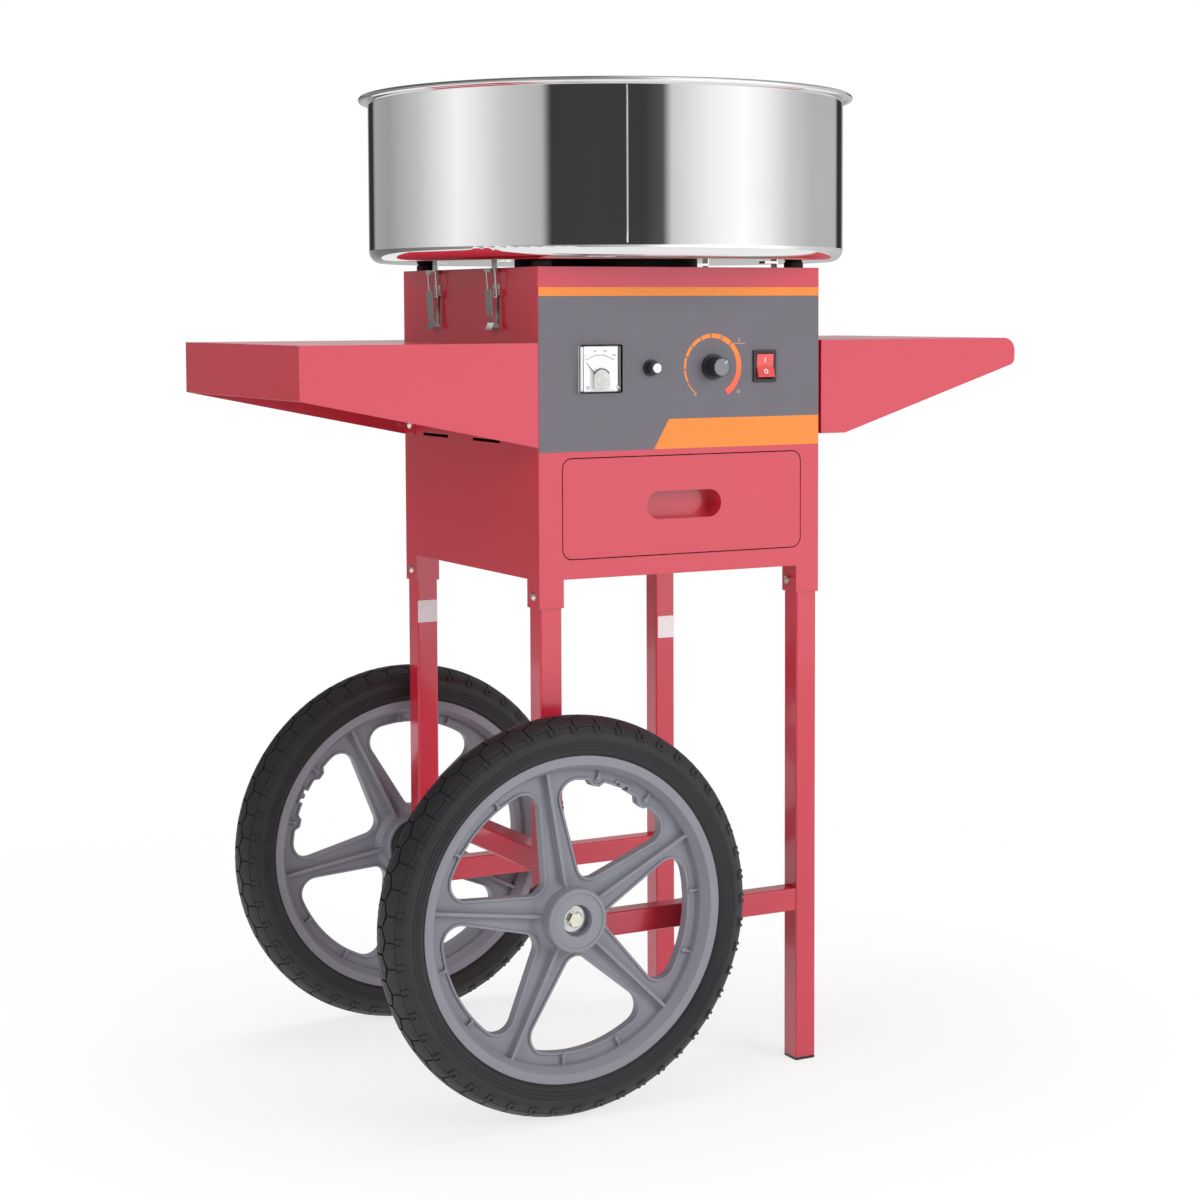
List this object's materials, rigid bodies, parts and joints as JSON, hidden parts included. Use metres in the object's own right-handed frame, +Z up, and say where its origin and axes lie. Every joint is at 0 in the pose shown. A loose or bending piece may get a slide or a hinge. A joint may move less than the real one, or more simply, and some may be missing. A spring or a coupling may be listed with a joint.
{
  "type": "cotton candy cart",
  "caption": "Floss machine with a round steel bowl on a red sheet-metal cabinet with a drawer, folded side shelves, a four-leg frame and two spoked cart wheels.",
  "frame": {"origin": "on the floor, under the middle of the whole cart's bounding box", "axes": "+Z up, -Y out of the control panel, -X towards the wheels, +X towards the round-nosed shelf"},
  "size_m": [0.826, 0.52, 1.012],
  "materials": {
    "red_paint": "gloss red powder coat",
    "sheet_steel": "plain galvanised sheet",
    "bowl_steel": "bright satin stainless steel",
    "spun_aluminium": "turned aluminium",
    "grey_paint": "grey enamel",
    "printed_film": "grey printed film with an orange band",
    "grey_plastic": "light grey moulded plastic",
    "dial_white": "white dial",
    "clear_cover": "clear moulded cover",
    "needle_red": "red pointer",
    "black_plastic": "black plastic",
    "red_plastic": "red translucent plastic",
    "black_rubber": "black rubber",
    "bright_steel": "turned steel",
    "plated_steel": "nickel-plated steel",
    "brass": "brass",
    "zinc_steel": "zinc-plated steel",
    "wheel_plastic": "grey moulded plastic",
    "tyre": "dark grey rubber tyre"
  },
  "bodies": {
    "cart": {"front_panel": "red_paint", "left_side_panel": "red_paint", "right_side_panel": "red_paint", "back_panel": "red_paint", "top_deck": "red_paint", "base_pan": "red_paint", "leg_brackets": "red_paint", "drawer_rails": "sheet_steel", "control_overlay": "printed_film", "cable_gland": "black_plastic", "voltmeter_case": "grey_plastic", "voltmeter_dial": "dial_white", "voltmeter_window": "clear_cover", "fuse_holder": "black_plastic", "heat_control": "grey_paint", "switch_body": "black_plastic", "left_shelf": "red_paint", "right_shelf": "red_paint", "bowl": "bowl_steel", "bowl_feet": "black_rubber", "bowl_catches": "plated_steel", "bowl_gasket": "black_rubber", "motor": "grey_paint", "motor_bracket": "sheet_steel", "brush_holder": "black_plastic", "left_legs": "red_paint", "right_legs": "red_paint", "cross_braces": "red_paint", "side_brace": "red_paint", "leg_caps": "black_plastic", "wheel_bolts": "zinc_steel", "hex_nuts": "zinc_steel", "wheel_spacers": "black_plastic", "frame_bolts": "zinc_steel", "latch_bases": "plated_steel"},
    "drawer": {"drawer_front": "red_paint", "drawer_tray": "sheet_steel"},
    "front_wheel": {"front_wheel_rim": "wheel_plastic", "front_tyre": "tyre", "front_bushing": "bright_steel"},
    "back_wheel": {"back_wheel_rim": "wheel_plastic", "back_tyre": "tyre", "back_bushing": "bright_steel"},
    "spinner": {"drive_shaft": "bright_steel", "slip_rings": "brass", "spinner_head": "spun_aluminium", "heater_band": "spun_aluminium", "spinner_cap": "spun_aluminium"},
    "needle": {"voltmeter_needle": "needle_red"},
    "fuse_plug": {"fuse_cap": "bright_steel"},
    "knob": {"heat_knob": "black_plastic"},
    "rocker": {"switch_rocker": "red_plastic"},
    "lever_front_left": {"latch_lever_front_left": "plated_steel"},
    "bail_front_left": {"latch_bail_front_left": "plated_steel"},
    "lever_back_left": {"latch_lever_back_left": "plated_steel"},
    "bail_back_left": {"latch_bail_back_left": "plated_steel"},
    "lever_front_right": {"latch_lever_front_right": "plated_steel"},
    "bail_front_right": {"latch_bail_front_right": "plated_steel"},
    "lever_back_right": {"latch_lever_back_right": "plated_steel"},
    "bail_back_right": {"latch_bail_back_right": "plated_steel"}
  },
  "joints": [
    {"name": "drawer_slide", "type": "slide", "parent": "cart", "child": "drawer", "axis": [0, -1, 0], "range_m": [0, 0.23]},
    {"name": "front_wheel_roll", "type": "hinge", "parent": "cart", "child": "front_wheel", "pos_m": [-0.1555, -0.197, 0.198], "axis": [0, 1, 0], "continuous": true},
    {"name": "back_wheel_roll", "type": "hinge", "parent": "cart", "child": "back_wheel", "pos_m": [-0.1555, 0.197, 0.198], "axis": [0, 1, 0], "continuous": true},
    {"name": "spinner_turn", "type": "hinge", "parent": "cart", "child": "spinner", "pos_m": [-0.0025, 0, 0.869], "axis": [0, 0, 1], "continuous": true},
    {"name": "needle_swing", "type": "hinge", "parent": "cart", "child": "needle", "pos_m": [-0.099, -0.1665, 0.7195], "axis": [0, 1, 0], "range_deg": [0, 80], "stiffness_Nm_per_rad": 0.005},
    {"name": "fuse_turn", "type": "hinge", "parent": "cart", "child": "fuse_plug", "pos_m": [-0.0395, -0.1707, 0.7315], "axis": [0, 1, 0], "range_deg": [-90, 0]},
    {"name": "knob_turn", "type": "hinge", "parent": "cart", "child": "knob", "pos_m": [0.0325, -0.1632, 0.7315], "axis": [0, 1, 0], "range_deg": [-180, 90]},
    {"name": "rocker_tilt", "type": "hinge", "parent": "cart", "child": "rocker", "pos_m": [0.0935, -0.1625, 0.7315], "axis": [1, 0, 0], "range_deg": [0, 16]},
    {"name": "lever_front_left", "type": "hinge", "parent": "cart", "child": "lever_front_left", "pos_m": [-0.1705, -0.072, 0.808], "axis": [0, 1, 0], "range_deg": [0, 110]},
    {"name": "bail_front_left", "type": "hinge", "parent": "lever_front_left", "child": "bail_front_left", "pos_m": [-0.1705, -0.072, 0.803], "axis": [0, 1, 0], "range_deg": [-96, 0]},
    {"name": "lever_back_left", "type": "hinge", "parent": "cart", "child": "lever_back_left", "pos_m": [-0.1705, 0.072, 0.808], "axis": [0, 1, 0], "range_deg": [0, 110]},
    {"name": "bail_back_left", "type": "hinge", "parent": "lever_back_left", "child": "bail_back_left", "pos_m": [-0.1705, 0.072, 0.803], "axis": [0, 1, 0], "range_deg": [-96, 0]},
    {"name": "lever_front_right", "type": "hinge", "parent": "cart", "child": "lever_front_right", "pos_m": [0.1655, -0.072, 0.808], "axis": [0, -1, 0], "range_deg": [0, 110]},
    {"name": "bail_front_right", "type": "hinge", "parent": "lever_front_right", "child": "bail_front_right", "pos_m": [0.1655, -0.072, 0.803], "axis": [0, -1, 0], "range_deg": [-96, 0]},
    {"name": "lever_back_right", "type": "hinge", "parent": "cart", "child": "lever_back_right", "pos_m": [0.1655, 0.072, 0.808], "axis": [0, -1, 0], "range_deg": [0, 110]},
    {"name": "bail_back_right", "type": "hinge", "parent": "lever_back_right", "child": "bail_back_right", "pos_m": [0.1655, 0.072, 0.803], "axis": [0, -1, 0], "range_deg": [-96, 0]}
  ],
  "couplings": [
    {"joint": "bail_front_left", "follows": "lever_front_left", "ratio": -0.87},
    {"joint": "bail_back_left", "follows": "lever_back_left", "ratio": -0.87},
    {"joint": "bail_front_right", "follows": "lever_front_right", "ratio": -0.87},
    {"joint": "bail_back_right", "follows": "lever_back_right", "ratio": -0.87}
  ]
}
